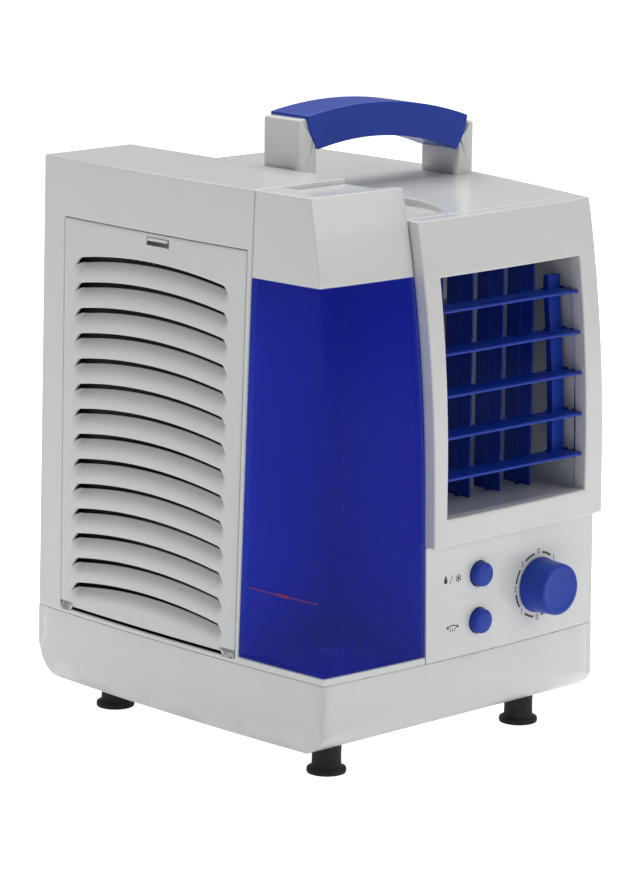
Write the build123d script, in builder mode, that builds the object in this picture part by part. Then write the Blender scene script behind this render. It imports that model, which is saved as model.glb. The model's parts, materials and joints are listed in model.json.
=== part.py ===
"""A small portable evaporative air cooler, modelled as the assembly it is.

Millimetres, +Z up. The front, with the air outlet and the controls, faces -Y, and the
removable filter panel faces -X. The origin is on the floor, under the middle of the cooler.
Depths are measured back from the front corners of the body, heights up from the floor.
"""
import os
from math import sqrt

from build123d import *

# ---------------------------------------------------------------- driving dimensions
width = 270.0            # across the body, at the base
depth = 304.0            # front corners to rear corners, at the seam
foot_height = 22.0       # rubber foot under the base
base_height = 50.0       # base bottom to the seam with the housing
plateau_height = 384.0   # base bottom to the raised left-hand strip
deck_front_height = 361.5  # base bottom to the lower right-hand deck, at its front
deck_back_height = 366.5   # the same, from the handle backwards
deck_flat_from = 124.0   # depth where the deck stops rising

front_bow = 5.2          # how far the front bulges in plan
side_bow = 4.5           # how far each side bulges in plan
rear_bow = 2.0           # how far the back bulges in plan
side_draft = 0.0105      # each side leans in by this much per unit of height
rear_draft = 0.0135      # the back leans in by this much per unit of height
lean_start = 178.0       # height above the base bottom where the front starts to lean back
lean_radius = 980.0      # radius of the front in side view, above that height

wall = 2.5               # moulded wall
skin_layer = 3.0         # thickness of the covers that form part of the outer skin
gap = 0.5                # seam between two covers
touch = 0.2              # space between neighbouring parts of one assembly
run = 0.06               # radial running clearance of a pin or shaft
panel_gap = 0.6          # space round the moving controls

tank_right = -41.0       # right side of the tank at its bottom
tank_back = 83.0         # depth of the back of the tank at its bottom
tank_lean_x = -0.0200    # the hidden sides of the tank lean by this much per unit of height
tank_lean_y = -0.0270
shelf = 5.5              # shelf that the tank stands on
tank_wall = 2.6
cap_height = 60.7        # white cap on top of the tank
valve_diameter = 30.0
valve_depth = 13.0       # how far the valve cap reaches below the tank
plunger_diameter = 9.0
plunger_travel = 4.0
recess_radius = 62.0     # shallow round finger recess across the cap and the deck
recess_depth = 3.5
recess_middle = 66.0     # depth of its centre

bezel_proud = 8.5        # how far the outlet frame stands out of the front
bezel_bottom = 134.0     # heights above the base bottom
outlet_bottom = 153.8
outlet_top = 322.0
outlet_left = -30.0
outlet_right = 113.5

blade_count = 5
blade_pitch = 29.3
blade_chord = 21.0
blade_thickness = 2.2
blade_pivot = 4.0        # depth of the horizontal blades' pivots
vane_count = 4
vane_pitch = 31.0
vane_chord = 26.0
vane_thickness = 1.8
vane_pivot = 39.0        # depth of the vertical vanes' pivots
vane_first = 1.0         # X of the leftmost vane
pin_diameter = 3.0       # pivot pins of the blades and vanes
link_pin_diameter = 2.6
link_arm = 8.0           # pivot to link pin
crank_arm = 4.0

button_diameter = 17.4
button_proud = 6.5
button_travel = 3.0
button_x = 11.0
button_heights = (107.5, 73.6)
knob_x = 72.8
knob_centre_height = 89.2
knob_base = 40.3
knob_face = 36.9
knob_depth = 22.5
stem_diameter = 6.0

filter_low = 53.7        # opening for the filter panel, heights above the base bottom
filter_high = 341.5
filter_front_low = 86.7  # depths of its corners
filter_front_high = 80.5
filter_rear_low = 277.2
filter_rear_high = 275.0
filter_tilt_room = 2.5   # room under the panel, so that it can tilt out
filter_depth = 3.4
louvre_count = 14
louvre_pitch = 18.4
louvre_top = 321.0
louvre_slot = 4.6
louvre_ends = (102.5, 257.5)  # depths of the arch's corners in the top louvre
louvre_shift = 2.0       # the bottom louvre is this much further back
louvre_tip = 6.5         # pointed ends of a louvre
louvre_drop = 6.6        # how far the arch of a louvre falls to its corners
hinge_pin = 2.2
hinge_rise = 1.5         # bottom edge of the panel to its hinge
hinge_rib = 6.5          # thickness of the panel along its hinged edge
hinge_cover = 1.2        # skin to the hinge pin

pad_thickness = 28.0
fan_diameter = 128.0
fan_width = 88.0
fan_blades = 26
fan_x = 40.0             # centre of the blower
fan_depth = 206.0
fan_height = 206.0
scroll_radius = 78.0
scroll_wall = 2.2
shaft_diameter = 8.0
motor_diameter = 74.0
motor_length = 24.0

handle_left = -46.2
handle_right = 130.6
handle_front = 124.0
handle_deep = 37.0
post_width = 18.5
grip_thickness = 24.5
grip_left_top = 421.5    # heights above the base bottom
grip_middle_top = 425.8
grip_right_top = 409.8
left_post_top = 419.5
right_post_top = 405.0

inlet_x = 95.0           # cord inlet in the back
inlet_height = 75.0
inlet_hole = 14.0
inlet_reach = 6.0        # how far it stands out of the rear corners

foot_neck = 21.0
foot_flange = 28.0
feet_x = (-104.0, 89.0)
feet_depth = (28.0, 253.0)

# ---------------------------------------------------------------- worked-out places
front_reach = knob_depth + front_bow * (1 - (2 * knob_x / width) ** 2)
front_y = -(depth + inlet_reach - front_reach) / 2
rear_y = front_y + depth
bottom_z = foot_height
seam_z = bottom_z + base_height
plateau_z = bottom_z + plateau_height
deck_front_z = bottom_z + deck_front_height
deck_back_z = bottom_z + deck_back_height
shelf_z = seam_z + shelf
cap_z = plateau_z - cap_height
bezel_z = bottom_z + bezel_bottom
outlet_low_z = bottom_z + outlet_bottom
outlet_high_z = bottom_z + outlet_top
step_x = tank_right + tank_lean_x * (plateau_z - shelf_z)
outlet_z = (outlet_low_z + outlet_high_z) / 2
tank_axis = Vector(tank_lean_x, tank_lean_y, 1.0).normalized()


def front_at(z):
    """Y of the front corners of the body at height z."""
    above = max(0.0, z - bottom_z - lean_start)
    return front_y + lean_radius - sqrt(lean_radius**2 - above**2)


def rear_at(z):
    return rear_y - rear_draft * max(0.0, z - seam_z)


def half_width_at(z):
    return width / 2 - side_draft * (z - bottom_z)


def front_face(x, z):
    """Y of the bowed front face at x and z."""
    share = x / half_width_at(z)
    return front_at(z) - front_bow * (1 - share**2)


def left_face(y, z):
    """X of the bowed left face at y and z."""
    middle = (front_at(z) + rear_at(z)) / 2
    share = (y - middle) / (rear_at(z) - middle)
    return -half_width_at(z) - side_bow * (1 - share**2)


def outline(z, inset):
    """The bowed plan outline of the body at height z, drawn in by inset."""
    x = half_width_at(z) - inset
    low, high = front_at(z) + inset, rear_at(z) - inset
    middle = (low + high) / 2
    with BuildSketch() as shape:
        with BuildLine():
            ThreePointArc((-x, low), (0, low - front_bow), (x, low))
            ThreePointArc((x, low), (x + side_bow, middle), (x, high))
            ThreePointArc((x, high), (0, high + rear_bow), (-x, high))
            ThreePointArc((-x, high), (-x - side_bow, middle), (-x, low))
        make_face()
    return shape.sketch


lean_z = bottom_z + lean_start
lean_step = (plateau_z - lean_z) / 4


def skin(inset, low, high):
    """The body's outer form between two heights, drawn in by inset."""
    with BuildPart() as form:
        for z in (bottom_z, seam_z, lean_z):
            with BuildSketch(Plane.XY.offset(z)):
                add(outline(z, inset))
        loft(ruled=True)
        for k in range(5):
            with BuildSketch(Plane.XY.offset(lean_z + k * lean_step)):
                add(outline(lean_z + k * lean_step, inset))
        loft()
        add(block((-width, width), (-depth, depth), (low, high)), mode=Mode.INTERSECT)
    return form.part


def over_deck(drop):
    """Everything above the deck, to the right of the raised strip, lowered by drop."""
    front, flat = front_y - 60, front_y + deck_flat_from
    slope = (deck_back_z - deck_front_z) / (deck_flat_from - wall)
    front_z = deck_back_z - slope * (flat - front) - drop
    with BuildPart() as space:
        with BuildSketch(Plane.YZ.offset(step_x - drop)):
            with BuildLine():
                Polyline((front, front_z), (flat, deck_back_z - drop), (rear_y + 60, deck_back_z - drop),
                         (rear_y + 60, plateau_z + 60), (front, plateau_z + 60), close=True)
            make_face()
        extrude(amount=width)
    return space.part


def bay(grow, low, high):
    """The tank's corner of the body, larger by grow, between two heights along its lean."""
    lift = low - shelf_z
    right = tank_right + grow + tank_lean_x * lift
    back = front_y + tank_back + grow + tank_lean_y * lift
    with BuildPart() as space:
        with BuildSketch(Plane.XY.offset(low)):
            with Locations((right, back)):
                Rectangle(width, depth, align=(Align.MAX, Align.MAX))
        extrude(amount=(high - low) / tank_axis.Z, dir=tank_axis)
    return space.part


def block(x, y, z):
    """A box between pairs of limits."""
    with BuildPart() as box:
        with Locations(((x[0] + x[1]) / 2, (y[0] + y[1]) / 2, (z[0] + z[1]) / 2)):
            Box(x[1] - x[0], y[1] - y[0], z[1] - z[0])
    return box.part


def rod(centre, radius, length, axis=Axis.Z):
    """A cylinder from centre, along +X, +Y or +Z."""
    turn = {"X": (0, 90, 0), "Y": (-90, 0, 0), "Z": (0, 0, 0)}
    name = "X" if axis == Axis.X else "Y" if axis == Axis.Y else "Z"
    with BuildPart() as cylinder:
        with Locations(Location(centre, turn[name])):
            Cylinder(radius, length, align=(Align.CENTER, Align.CENTER, Align.MIN))
    return cylinder.part


def finish(piece, name):
    """Labels a finished piece and writes it."""
    piece.part.label = name
    export_step(piece.part, f"parts/{name}.step")


def filter_space(grow, low_grow, inside):
    """The filter panel's slightly tapered outline, carried through the left wall."""
    low, high = bottom_z + filter_low - low_grow, bottom_z + filter_high + grow
    with BuildPart() as space:
        with BuildSketch(Plane.YZ.offset(-width)):
            with BuildLine():
                Polyline((front_y + filter_front_low - grow, low), (front_y + filter_rear_low + grow, low),
                         (front_y + filter_rear_high + grow, high),
                         (front_y + filter_front_high - grow, high), close=True)
            make_face()
        extrude(amount=width / 2 + inside)
    return space.part


os.makedirs("parts", exist_ok=True)

# ---------------------------------------------------------------- base and feet
tub_round_front = (20.0, 40.0)
tub_round_rear = (25.0, 42.0)
foot_places = [(x, front_y + y) for x in feet_x for y in feet_depth]
seat_x, seat_y = tank_right - 47.0, front_y + 44.0


def tub_profile(inset):
    """The body in side view, with its rounded lower corners, carried across the width."""
    f, r, low = front_y - front_bow + inset, rear_y + rear_bow - inset, bottom_z + inset
    fy, fz = tub_round_front
    ry, rz = tub_round_rear
    with BuildPart() as form:
        with BuildSketch(Plane.YZ.offset(-width)):
            with BuildLine():
                Line((f, seam_z + 20), (f, low + fz))
                Bezier((f, low + fz), (f, low + 6), (f + fy, low))
                Line((f + fy, low), (r - ry, low))
                Bezier((r - ry, low), (r, low + 2), (r, low + rz))
                Line((r, low + rz), (r, seam_z + 20))
                Line((r, seam_z + 20), (f, seam_z + 20))
            make_face()
        extrude(amount=2 * width)
    return form.part


pump_x, pump_y = -76.0, front_y + 250.0
pump_diameter = 34.0
pump_height = 32.0

with BuildPart() as base_tray:
    add(skin(0, bottom_z, seam_z))
    add(tub_profile(0), mode=Mode.INTERSECT)
    with BuildPart(mode=Mode.PRIVATE) as tub_inside:
        add(skin(wall, bottom_z, seam_z + 1))
        add(tub_profile(wall), mode=Mode.INTERSECT)
    add(tub_inside.part, mode=Mode.SUBTRACT)
    add(rod((seat_x, seat_y, bottom_z + wall - 0.5), 5.0, seam_z - bottom_z - wall - 12.0))
    for x, y in foot_places:
        add(rod((x, y, bottom_z + 1.0), 7.0, 11.0))
        add(rod((x, y, bottom_z - 1.0), 2.1, 10.0), mode=Mode.SUBTRACT)
finish(base_tray, "base_tray")

# ---------------------------------------------------------------- housing
with BuildPart() as body_form:
    add(skin(0, seam_z, plateau_z))
    add(over_deck(0), mode=Mode.SUBTRACT)

with BuildPart() as hollow_form:
    add(skin(wall, seam_z - 1, plateau_z - wall))
    add(over_deck(wall), mode=Mode.SUBTRACT)


def behind(shift):
    """Everything behind the body's front face, that face moved back by shift."""

    def section(z):
        side = half_width_at(z) + 25
        edge = front_at(z) + shift + front_bow * ((side / half_width_at(z)) ** 2 - 1)
        with BuildSketch() as shape:
            with BuildLine():
                ThreePointArc((-side, edge), (0, front_at(z) + shift - front_bow), (side, edge))
                Polyline((side, edge), (side, rear_y + 60), (-side, rear_y + 60), (-side, edge))
            make_face()
        return shape.sketch

    with BuildPart() as space:
        for z in (seam_z - 5, lean_z):
            with BuildSketch(Plane.XY.offset(z)):
                add(section(z))
        loft(ruled=True)
        for k in range(6):
            with BuildSketch(Plane.XY.offset(lean_z + k * lean_step)):
                add(section(lean_z + k * lean_step))
        loft()
    return space.part


def between_sides(inset, low, high):
    """The flat-sided space between the two side faces at the front corners."""
    with BuildPart() as space:
        for z in (low, high):
            with BuildSketch(Plane.XY.offset(z)):
                Rectangle(2 * (half_width_at(z) - inset), 4 * depth)
        loft(ruled=True)
    return space.part


all_heights = (seam_z - 2, plateau_z + 40)
inlet_z = bottom_z + inlet_height
valve_hole = valve_diameter + 8
filter_hinge_z = bottom_z + filter_low + filter_tilt_room + hinge_rise
filter_hinge_x = left_face(front_y + filter_rear_low, filter_hinge_z) + hinge_pin / 2 + hinge_cover
hinge_boss = 7.0
hinge_boss_length = 3.0
hinge_pin_reach = 2.4
partition_x = -52.0
pad_left = -124.0

with BuildPart() as front_opening:
    add(block((-width / 4, width), (front_y - 60, front_y + 150), (seam_z - 1, plateau_z + 1)))
    add(behind(skin_layer + touch), mode=Mode.SUBTRACT)
    add(bay(0, seam_z - 5, plateau_z + 10), mode=Mode.SUBTRACT)

with BuildPart() as hinge_bosses:
    for y in (front_y + filter_front_low - gap - hinge_boss_length, front_y + filter_rear_low + gap):
        add(block((filter_hinge_x - hinge_pin / 2 - 0.4, filter_hinge_x + hinge_boss),
                  (y, y + hinge_boss_length),
                  (filter_hinge_z - hinge_boss / 2, filter_hinge_z + hinge_boss / 2)))

with BuildPart() as recess_floor:
    with Locations((step_x, front_y + recess_middle, deck_front_z)):
        Cylinder(recess_radius + wall, 14)

with BuildPart() as housing:
    add(body_form.part)
    with BuildPart(mode=Mode.PRIVATE) as inside:
        add(hollow_form.part)
        add(bay(wall, seam_z - 3, plateau_z + 10), mode=Mode.SUBTRACT)
        add(recess_floor.part, mode=Mode.SUBTRACT)
    add(inside.part, mode=Mode.SUBTRACT)
    add(bay(0, shelf_z, plateau_z + 10), mode=Mode.SUBTRACT)
    add(front_opening.part, mode=Mode.SUBTRACT)
    add(filter_space(gap, 0, 6.0), mode=Mode.SUBTRACT)
    add(hinge_bosses.part)
    for y in (front_y + filter_front_low - hinge_pin_reach - 0.6, front_y + filter_rear_low):
        add(rod((filter_hinge_x, y, filter_hinge_z), hinge_pin / 2 + run, hinge_pin_reach + 0.6, Axis.Y),
            mode=Mode.SUBTRACT)
    add(rod((seat_x, seat_y, seam_z - 1), valve_hole / 2, shelf + 2), mode=Mode.SUBTRACT)
    add(rod((inlet_x, rear_y - 12, inlet_z), inlet_hole / 2, 24, Axis.Y), mode=Mode.SUBTRACT)
    with BuildPart(mode=Mode.PRIVATE) as deck_recess:
        with Locations((step_x, front_y + recess_middle, deck_back_z + 3)):
            Cylinder(recess_radius, 2 * (recess_depth + 3 + 4.0))
        add(behind(skin_layer + 9.0), mode=Mode.INTERSECT)
        add(bay(wall, seam_z, plateau_z + 20), mode=Mode.SUBTRACT)
        add(block((step_x, width), (front_y, rear_y), (deck_front_z - recess_depth, plateau_z + 20)),
            mode=Mode.INTERSECT)
    add(deck_recess.part, mode=Mode.SUBTRACT)
finish(housing, "housing")

# ---------------------------------------------------------------- tank
tank_low = shelf_z + 0.3
tank_high = cap_z - 0.15
with BuildPart() as water_tank:
    add(skin(0, shelf_z - 5, cap_z + 5))
    add(bay(-gap, tank_low, tank_high), mode=Mode.INTERSECT)
    with BuildPart(mode=Mode.PRIVATE) as water_space:
        add(skin(tank_wall, shelf_z - 5, cap_z + 10))
        add(bay(-gap - tank_wall, tank_low + tank_wall, tank_high + 5), mode=Mode.INTERSECT)
    add(water_space.part, mode=Mode.SUBTRACT)
    add(rod((seat_x, seat_y, tank_low), valve_diameter / 2 + 3, tank_wall + 6))
    add(rod((seat_x, seat_y, tank_low - 1), valve_diameter / 2 - 3, tank_wall + 8), mode=Mode.SUBTRACT)
finish(water_tank, "water_tank")

cap_top = 6.5
with BuildPart() as tank_cap:
    add(skin(0, cap_z - 5, plateau_z))
    add(bay(-gap, cap_z + 0.15, plateau_z + 1), mode=Mode.INTERSECT)
    with BuildPart(mode=Mode.PRIVATE) as cap_space:
        add(skin(wall, cap_z - 5, plateau_z))
        add(bay(-gap - wall, cap_z, plateau_z + 1), mode=Mode.INTERSECT)
        add(block((-width, width), (-depth, depth), (cap_z - 6, plateau_z - cap_top)), mode=Mode.INTERSECT)
    add(cap_space.part, mode=Mode.SUBTRACT)
    with BuildPart(mode=Mode.PRIVATE) as cap_recess:
        with Locations((step_x, front_y + recess_middle, plateau_z)):
            Cylinder(recess_radius, 2 * recess_depth)
        add(behind(10.0), mode=Mode.INTERSECT)
    add(cap_recess.part, mode=Mode.SUBTRACT)
finish(tank_cap, "tank_cap")

valve_low = tank_low - valve_depth
with BuildPart() as valve_cap:
    with Locations((seat_x, seat_y, valve_low)):
        Cylinder(valve_diameter / 2, valve_depth - touch, align=(Align.CENTER, Align.CENTER, Align.MIN))
        with PolarLocations(valve_diameter / 2, 18):
            Box(1.6, 1.2, valve_depth - 3, align=(Align.CENTER, Align.CENTER, Align.MIN))
    add(rod((seat_x, seat_y, valve_low - 1), plunger_diameter / 2 + run, valve_depth + 2),
        mode=Mode.SUBTRACT)
finish(valve_cap, "valve_cap")

plunger_low = valve_low - plunger_travel - 0.4
with BuildPart() as valve_plunger:
    add(rod((seat_x, seat_y, plunger_low), plunger_diameter / 2, valve_depth + plunger_travel + 2.2))
    add(rod((seat_x, seat_y, tank_low + 0.6), plunger_diameter / 2 + 3, 2.4))
finish(valve_plunger, "valve_plunger")

# ---------------------------------------------------------------- filter panel
with BuildPart() as filter_layer:
    add(skin(0, seam_z, plateau_z - 20))
    add(skin(filter_depth, seam_z - 5, plateau_z), mode=Mode.SUBTRACT)
    with BuildPart(mode=Mode.PRIVATE) as rib:
        add(skin(0, seam_z, seam_z + 30))
        add(skin(hinge_rib, seam_z - 5, seam_z + 35), mode=Mode.SUBTRACT)
        add(block((-width, 0), (front_y, rear_y), (seam_z, filter_hinge_z + 2.6)), mode=Mode.INTERSECT)
    add(rib.part)

with BuildPart() as filter_panel:
    add(filter_layer.part)
    add(filter_space(0, -filter_tilt_room, 12.0), mode=Mode.INTERSECT)
    with BuildPart(mode=Mode.PRIVATE) as slots:
        for k in range(louvre_count):
            top = bottom_z + louvre_top - k * louvre_pitch
            shift = louvre_shift * k / (louvre_count - 1)
            with BuildSketch(Plane.YZ.offset(-width / 2 - 12)):
                with BuildLine():
                    ends = (front_y + louvre_ends[0] + shift, front_y + louvre_ends[1] + shift)
                    middle = (ends[0] + ends[1]) / 2
                    low = top - louvre_drop
                    ThreePointArc((ends[0], low), (middle, top), (ends[1], low))
                    Line((ends[1], low), (ends[1] + louvre_tip, low - louvre_slot - 3))
                    Line((ends[1] + louvre_tip, low - louvre_slot - 3), (ends[1], low - louvre_slot))
                    ThreePointArc((ends[1], low - louvre_slot), (middle, top - louvre_slot),
                                  (ends[0], low - louvre_slot))
                    Line((ends[0], low - louvre_slot), (ends[0] - louvre_tip, low - louvre_slot - 3))
                    Line((ends[0] - louvre_tip, low - louvre_slot - 3), (ends[0], low))
                make_face()
        extrude(amount=30)
    add(slots.part, mode=Mode.SUBTRACT)
    with BuildPart(mode=Mode.PRIVATE) as latch_slot:
        middle_y = front_y + 171.0
        add(block((-width, -width / 2 + 20), (middle_y - 12, middle_y + 12),
                  (bottom_z + filter_high - 8.5, bottom_z + filter_high - 2.5)))
    add(latch_slot.part, mode=Mode.SUBTRACT)
    for y in (front_y + filter_front_low - hinge_pin_reach, front_y + filter_rear_low - 3):
        add(rod((filter_hinge_x, y, filter_hinge_z), hinge_pin / 2, hinge_pin_reach + 3, Axis.Y))
finish(filter_panel, "filter_panel")

latch_y = front_y + 171.0
latch_z = bottom_z + filter_high - 5.5
with BuildPart() as panel_latch:
    x = left_face(latch_y, latch_z)
    add(block((x - 0.6, x + 8.0), (latch_y - 10.5, latch_y + 10.5), (latch_z + 0.4, latch_z + 2.6)))
    add(block((x + 4.4, x + 6.4), (latch_y - 10.5, latch_y + 10.5), (latch_z + 2.0, latch_z + 5.3)))
finish(panel_latch, "panel_latch")

mesh_x = left_face(front_y + filter_rear_high, bottom_z + filter_high) + filter_depth + 0.3
with BuildPart() as filter_mesh:
    span_y = (front_y + filter_front_low + 10, front_y + filter_rear_high - 10)
    span_z = (bottom_z + filter_low + 12, bottom_z + filter_high - 24)
    add(block((mesh_x, mesh_x + 2.0), span_y, span_z))
    opening = block((mesh_x - 1, mesh_x + 3), (span_y[0] + 5, span_y[1] - 5), (span_z[0] + 5, span_z[1] - 5))
    add(opening, mode=Mode.SUBTRACT)
    ribs_y = [span_y[0] + 5 + (span_y[1] - span_y[0] - 10) * k / 12 for k in range(1, 12)]
    ribs_z = [span_z[0] + 5 + (span_z[1] - span_z[0] - 10) * k / 18 for k in range(1, 18)]
    for y in ribs_y:
        add(block((mesh_x + 0.6, mesh_x + 1.4), (y - 0.5, y + 0.5), span_z))
    for z in ribs_z:
        add(block((mesh_x + 0.6, mesh_x + 1.4), span_y, (z - 0.5, z + 0.5)))
finish(filter_mesh, "filter_mesh")

# ---------------------------------------------------------------- cooling pad and water
pad_y = (front_y + 100, front_y + 262)
pad_z = (bottom_z + 60, bottom_z + 330)
frame_wall = 2.0
with BuildPart() as cooling_pad:
    add(block((pad_left, pad_left + pad_thickness), pad_y, pad_z))
finish(cooling_pad, "cooling_pad")

with BuildPart() as pad_frame:
    edge = frame_wall + touch
    add(block((pad_left - 1, pad_left + pad_thickness + 1), (pad_y[0] - edge, pad_y[1] + edge),
              (pad_z[0] - edge, pad_z[1])))
    add(block((pad_left - 2, pad_left + pad_thickness + 2), (pad_y[0] - touch, pad_y[1] + touch),
              (pad_z[0] - touch, pad_z[1] + 1)), mode=Mode.SUBTRACT)
finish(pad_frame, "pad_frame")

with BuildPart() as distributor:
    z = (pad_z[1] + touch, pad_z[1] + 11)
    y = (pad_y[0] - 2, pad_y[1] + 2)
    add(block((pad_left, pad_left + pad_thickness), y, z))
    add(block((pad_left + 2, pad_left + pad_thickness - 2), (y[0] + 2, y[1] - 2), (z[0] + 2, z[1] + 1)),
        mode=Mode.SUBTRACT)
    for k in range(12):
        hole_y = y[0] + 8 + k * (y[1] - y[0] - 16) / 11
        add(rod((pad_left + pad_thickness / 2, hole_y, z[0] - 1), 1.5, 5), mode=Mode.SUBTRACT)
finish(distributor, "distributor")

pump_low = bottom_z + wall + touch
chamber = 9.0
with BuildPart() as pump_body:
    add(rod((pump_x, pump_y, pump_low), pump_diameter / 2, pump_height))
    add(rod((pump_x, pump_y, pump_low - 1), pump_diameter / 2 - 5, chamber + 1), mode=Mode.SUBTRACT)
    add(rod((pump_x, pump_y, pump_low + chamber - 1), 1.5 + run, 14), mode=Mode.SUBTRACT)
finish(pump_body, "pump_body")

with BuildPart() as pump_impeller:
    add(rod((pump_x, pump_y, pump_low + 1), 4.0, chamber - 2))
    add(rod((pump_x, pump_y, pump_low + 1), 1.5, chamber + 8))
    with Locations((pump_x, pump_y, pump_low + 1)):
        with PolarLocations(6.0, 6):
            Box(8.0, 1.2, chamber - 2, align=(Align.CENTER, Align.CENTER, Align.MIN))
finish(pump_impeller, "pump_impeller")

hose_top = pad_z[1] + 22
pad_middle = pad_left + pad_thickness / 2
hose_path_points = [(pump_x, pump_y, pump_low + pump_height), (pump_x, pump_y, hose_top),
                    (pad_middle, pump_y, hose_top), (pad_middle, pump_y, pad_z[1] + 4)]
with BuildPart() as water_hose:
    with BuildLine():
        FilletPolyline(*hose_path_points, radius=8)
    with BuildSketch(Plane(hose_path_points[0], z_dir=(0, 0, 1))):
        Circle(4.0)
    sweep()
finish(water_hose, "water_hose")

# ---------------------------------------------------------------- inner wall and blower
fan_y, fan_z = front_y + fan_depth, bottom_z + fan_height
with BuildPart() as partition:
    add(skin(wall + touch, seam_z + 0.5, plateau_z - wall))
    add(block((partition_x - wall, partition_x), (front_y + tank_back + wall + 2, rear_y),
              (seam_z, plateau_z)), mode=Mode.INTERSECT)
    add(over_deck(wall + touch), mode=Mode.SUBTRACT)
    add(bay(wall + touch, seam_z - 2, plateau_z + 10), mode=Mode.SUBTRACT)
    add(recess_floor.part, mode=Mode.SUBTRACT)
    add(rod((partition_x - 10, fan_y, fan_z), fan_diameter / 2 - 10, 20, Axis.X), mode=Mode.SUBTRACT)
finish(partition, "partition")

scroll_low, scroll_high = fan_x - fan_width / 2 - 6, fan_x + fan_width / 2 + 6
duct_back = 100.0
duct_in = 1.0
duct_wall = 2.0
mouth_z = (fan_z + 20, fan_z + scroll_radius)
with BuildPart() as scroll_housing:
    add(rod((scroll_low, fan_y, fan_z), scroll_radius, scroll_high - scroll_low, Axis.X))
    add(block((scroll_low, scroll_high), (front_y + duct_back + touch, fan_y), mouth_z))
    inner = (scroll_low + scroll_wall, scroll_high - scroll_wall)
    add(rod((inner[0], fan_y, fan_z), scroll_radius - scroll_wall, inner[1] - inner[0], Axis.X),
        mode=Mode.SUBTRACT)
    add(block(inner, (front_y + duct_back - 5, fan_y),
              (mouth_z[0] + scroll_wall, mouth_z[1] - scroll_wall)), mode=Mode.SUBTRACT)
    add(rod((scroll_low - 1, fan_y, fan_z), fan_diameter / 2 - 10, 5, Axis.X), mode=Mode.SUBTRACT)
    add(rod((scroll_high - 4, fan_y, fan_z), shaft_diameter / 2 + 2, 5, Axis.X), mode=Mode.SUBTRACT)
finish(scroll_housing, "scroll_housing")

with BuildPart() as inlet_ring:
    length = scroll_low - partition_x - 2 * touch
    add(rod((partition_x + touch, fan_y, fan_z), fan_diameter / 2 - 6, length, Axis.X))
    add(rod((partition_x - 1, fan_y, fan_z), fan_diameter / 2 - 8, length + 4, Axis.X), mode=Mode.SUBTRACT)
finish(inlet_ring, "inlet_ring")

fan_low, fan_high = fan_x - fan_width / 2, fan_x + fan_width / 2
with BuildPart() as fan_drum:
    add(rod((fan_high - 2, fan_y, fan_z), fan_diameter / 2, 2, Axis.X))
    with BuildPart(mode=Mode.PRIVATE) as front_ring:
        add(rod((fan_low, fan_y, fan_z), fan_diameter / 2, 2.5, Axis.X))
        add(rod((fan_low - 1, fan_y, fan_z), fan_diameter / 2 - 8, 5, Axis.X), mode=Mode.SUBTRACT)
    add(front_ring.part)
    add(rod((fan_high - 26, fan_y, fan_z), 12, 26, Axis.X))
    with Locations(Location((fan_low, fan_y, fan_z), (0, 90, 0))):
        with PolarLocations(fan_diameter / 2 - 4.2, fan_blades):
            with Locations(Location((0, 0, 0), (0, 0, 35))):
                Box(7.0, 1.2, fan_width, align=(Align.CENTER, Align.CENTER, Align.MIN))
    add(rod((fan_high - 30, fan_y, fan_z), shaft_diameter / 2, 40, Axis.X), mode=Mode.SUBTRACT)
finish(fan_drum, "fan_drum")

with BuildPart() as fan_shaft:
    add(rod((fan_high - 26, fan_y, fan_z), shaft_diameter / 2, 26 + 6 + motor_length - 4, Axis.X))
finish(fan_shaft, "fan_shaft")

motor_x = scroll_high + touch
with BuildPart() as fan_motor:
    add(rod((motor_x, fan_y, fan_z), motor_diameter / 2, motor_length, Axis.X))
    fillet(fan_motor.edges().filter_by(GeomType.CIRCLE).group_by(Axis.X)[-1], 5)
    add(rod((motor_x - 1, fan_y, fan_z), shaft_diameter / 2 + run, motor_length - 2, Axis.X),
        mode=Mode.SUBTRACT)
finish(fan_motor, "fan_motor")

# ---------------------------------------------------------------- outlet frame and duct
with BuildPart() as bezel:
    add(body_form.part.moved(Location((0, -bezel_proud, 0))))
    add(block((-width / 2, width), (front_y - 60, front_y + 120), (bezel_z, plateau_z)), mode=Mode.INTERSECT)
    add(between_sides(0, *all_heights), mode=Mode.INTERSECT)
    add(over_deck(0), mode=Mode.SUBTRACT)
    add(behind(skin_layer), mode=Mode.SUBTRACT)
    add(bay(0.6, seam_z - 5, plateau_z + 20), mode=Mode.SUBTRACT)
    with BuildPart(mode=Mode.PRIVATE) as bezel_hollow:
        add(behind(wall - bezel_proud))
        add(block((-width / 2, width), (front_y - 60, front_y + 120), (bezel_z + wall, plateau_z)),
            mode=Mode.INTERSECT)
        add(between_sides(wall, *all_heights), mode=Mode.INTERSECT)
        add(over_deck(wall), mode=Mode.SUBTRACT)
        add(bay(0.6 + wall, seam_z - 5, plateau_z + 20), mode=Mode.SUBTRACT)
        add(block((outlet_left - wall, outlet_right + wall), (front_y - 60, front_y + 120),
                  (outlet_low_z - wall, outlet_high_z + wall)), mode=Mode.SUBTRACT)
    add(bezel_hollow.part, mode=Mode.SUBTRACT)
    add(block((outlet_left, outlet_right), (front_y - 60, front_y + 120), (outlet_low_z, outlet_high_z)),
        mode=Mode.SUBTRACT)
finish(bezel, "bezel")

blade_heights = [outlet_z + blade_pitch * ((blade_count - 1) / 2 - k) for k in range(blade_count)]
blade_places = [(front_at(z) + blade_pivot, z) for z in blade_heights]
vane_xs = [vane_first + vane_pitch * k for k in range(vane_count)]
vane_y = front_y + vane_pivot
duct_x = (outlet_left - duct_in, outlet_right + duct_in)
duct_z = (outlet_low_z - duct_in, outlet_high_z + duct_in)
crank_x = vane_first + vane_pitch * (vane_count - 1) / 2
crank_y = vane_y + link_arm + 12
swing_shaft = 5.0

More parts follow.
